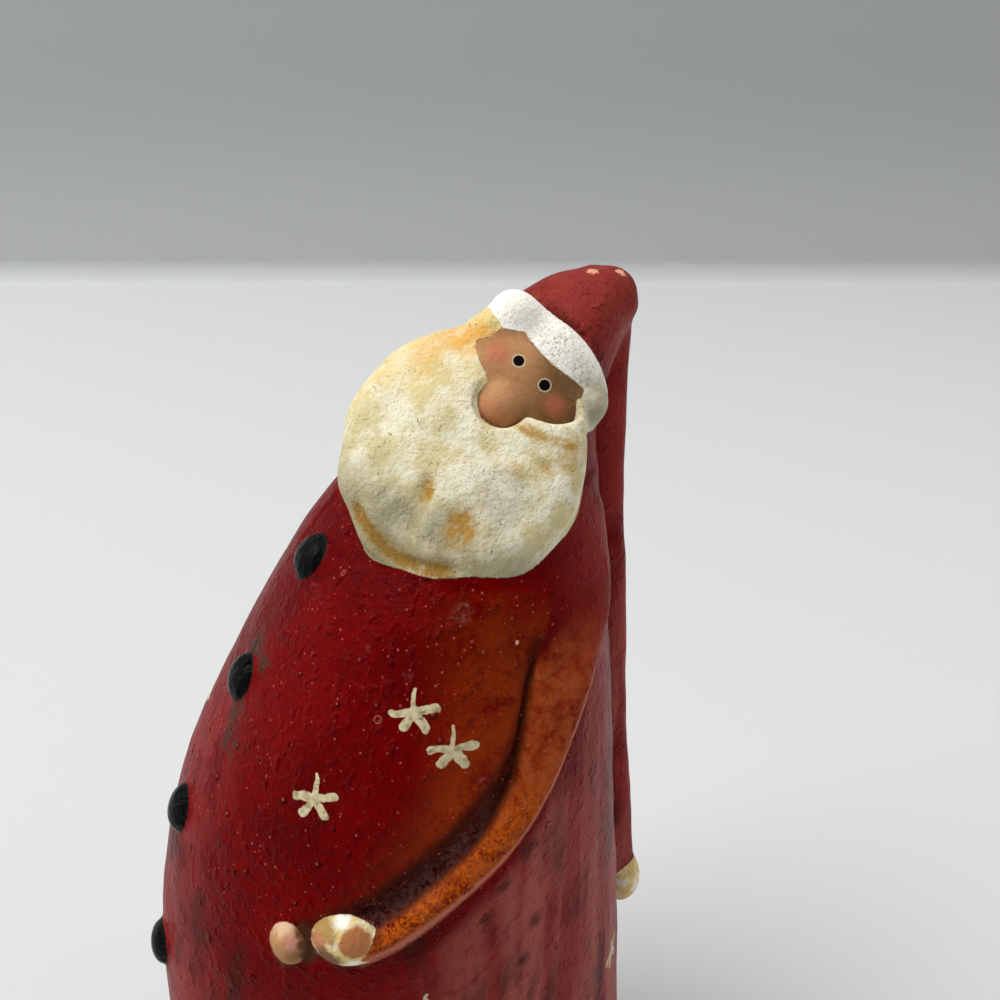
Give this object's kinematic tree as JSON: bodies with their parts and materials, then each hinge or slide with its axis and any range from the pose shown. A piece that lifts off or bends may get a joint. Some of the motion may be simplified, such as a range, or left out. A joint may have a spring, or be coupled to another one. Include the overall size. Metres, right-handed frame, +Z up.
{
  "type": "santa figurine",
  "caption": "Hand-painted folk-art Santa figurine, cast in one piece: leaning comma-shaped robe, round beard, buttons and a hanging hat tail; stands on its flat underside.",
  "frame": {"origin": "middle of the flat underside, below the robe", "axes": "+Z up; the row of buttons faces -Y; +X is the figure's own left, the side its face turns to"},
  "size_m": [0.0866, 0.1113, 0.212],
  "materials": {
    "painted_casting": "hand-painted casting: satin antiqued crimson, matt cream beard and fur, gloss black buttons, terracotta showing at chips"
  },
  "bodies": {
    "root": {"santa_figurine": "painted_casting"}
  },
  "joints": []
}
